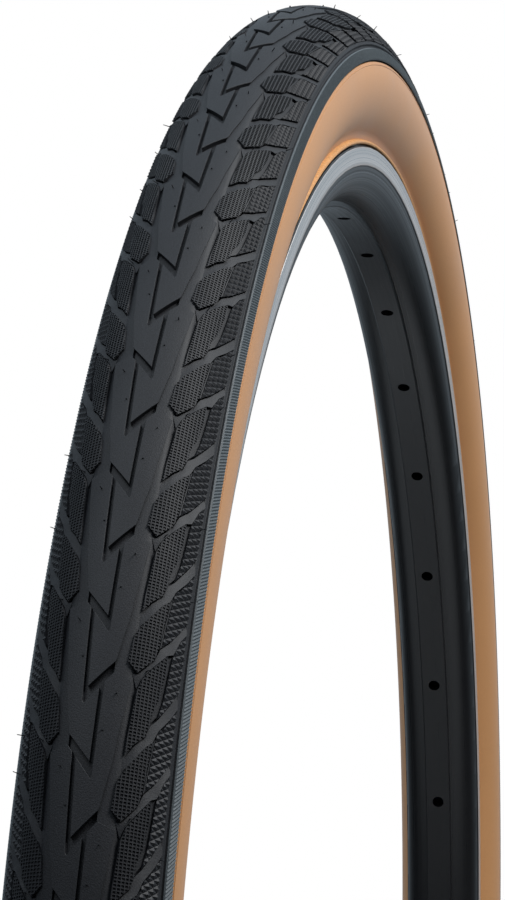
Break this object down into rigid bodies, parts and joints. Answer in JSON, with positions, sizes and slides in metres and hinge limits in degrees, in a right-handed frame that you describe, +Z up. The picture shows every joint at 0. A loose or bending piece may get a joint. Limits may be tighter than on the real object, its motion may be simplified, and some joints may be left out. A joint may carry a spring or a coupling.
{
  "type": "bicycle tyre on a rim",
  "caption": "Gum-wall city bicycle tyre with a block-edged tread, cured casing and wire beads, seated on a drilled double-wall rim with its tube and valve.",
  "frame": {"origin": "centre of the wheel, on its axis and midway between the two sidewalls", "axes": "+Y along the wheel's axis, +Z up, with the valve at the bottom"},
  "size_m": [0.723, 0.0414, 0.723],
  "materials": {
    "tread_rubber": "black tread rubber with a fine grain",
    "wing_rubber": "grey-black rubber with fine moulded ribs",
    "belt": "red natural rubber",
    "ply": "rubbered nylon cord",
    "gum": "tan gum rubber, satin",
    "bead_steel": "brass-coated steel wire",
    "chafer": "tan rubbered strip",
    "butyl": "black butyl with talc",
    "tape": "blue woven nylon",
    "rim_alloy": "black anodised, with a machined grey flange",
    "sleeve_alloy": "bare extruded",
    "valve_rubber": "black vulcanised rubber",
    "valve_brass": "turned brass, threaded",
    "nut_steel": "nickel-plated, knurled",
    "seal_rubber": "black seal rubber",
    "core_seal": "red seal",
    "spring_steel": "spring wire",
    "cap_plastic": "black moulded plastic"
  },
  "bodies": {
    "root": {"tread": "tread_rubber", "wing_strip_left": "wing_rubber", "wing_strip_right": "wing_rubber", "puncture_belt": "belt", "casing": "ply", "sidewall_left": "gum", "sidewall_right": "gum", "bead_wire_left": "bead_steel", "bead_wire_right": "bead_steel", "bead_strip_left": "chafer", "bead_strip_right": "chafer", "inner_tube": "butyl", "rim_tape": "tape", "rim": "rim_alloy", "rim_joint_sleeve": "sleeve_alloy", "valve_base": "valve_rubber", "valve_stem": "valve_brass", "core_barrel": "valve_brass", "core_gasket": "core_seal", "pin_spring": "spring_steel"},
    "locknut_seat": {"locknut_washer": "seal_rubber"},
    "locknut": {"valve_locknut": "nut_steel"},
    "cap_seat": {"cap_gasket": "seal_rubber"},
    "cap": {"valve_cap": "cap_plastic"},
    "pin": {"valve_pin": "valve_brass", "pin_seal": "seal_rubber"}
  },
  "joints": [
    {"name": "locknut_travel", "type": "slide", "parent": "root", "child": "locknut_seat", "axis": [0, 0, 1], "range_m": [0, 0.00794]},
    {"name": "locknut_turn", "type": "hinge", "parent": "locknut_seat", "child": "locknut", "pos_m": [0, 0, -0.296], "axis": [0, 0, 1], "range_deg": [0, 3600.5]},
    {"name": "cap_travel", "type": "slide", "parent": "root", "child": "cap_seat", "axis": [0, 0, 1], "range_m": [0, 0.00397]},
    {"name": "cap_turn", "type": "hinge", "parent": "cap_seat", "child": "cap", "pos_m": [0, 0, -0.273], "axis": [0, 0, 1], "range_deg": [0, 1800.5]},
    {"name": "pin_press", "type": "slide", "parent": "root", "child": "pin", "axis": [0, 0, -1], "range_m": [0, 0.0015], "stiffness_N_per_m": 400, "springref_m": -0.003, "deforming": ["pin_spring"]}
  ],
  "couplings": [
    {"joint": "locknut_turn", "follows": "locknut_travel", "rad_per_m": 7915.8},
    {"joint": "cap_turn", "follows": "cap_travel", "rad_per_m": 7915.8}
  ]
}
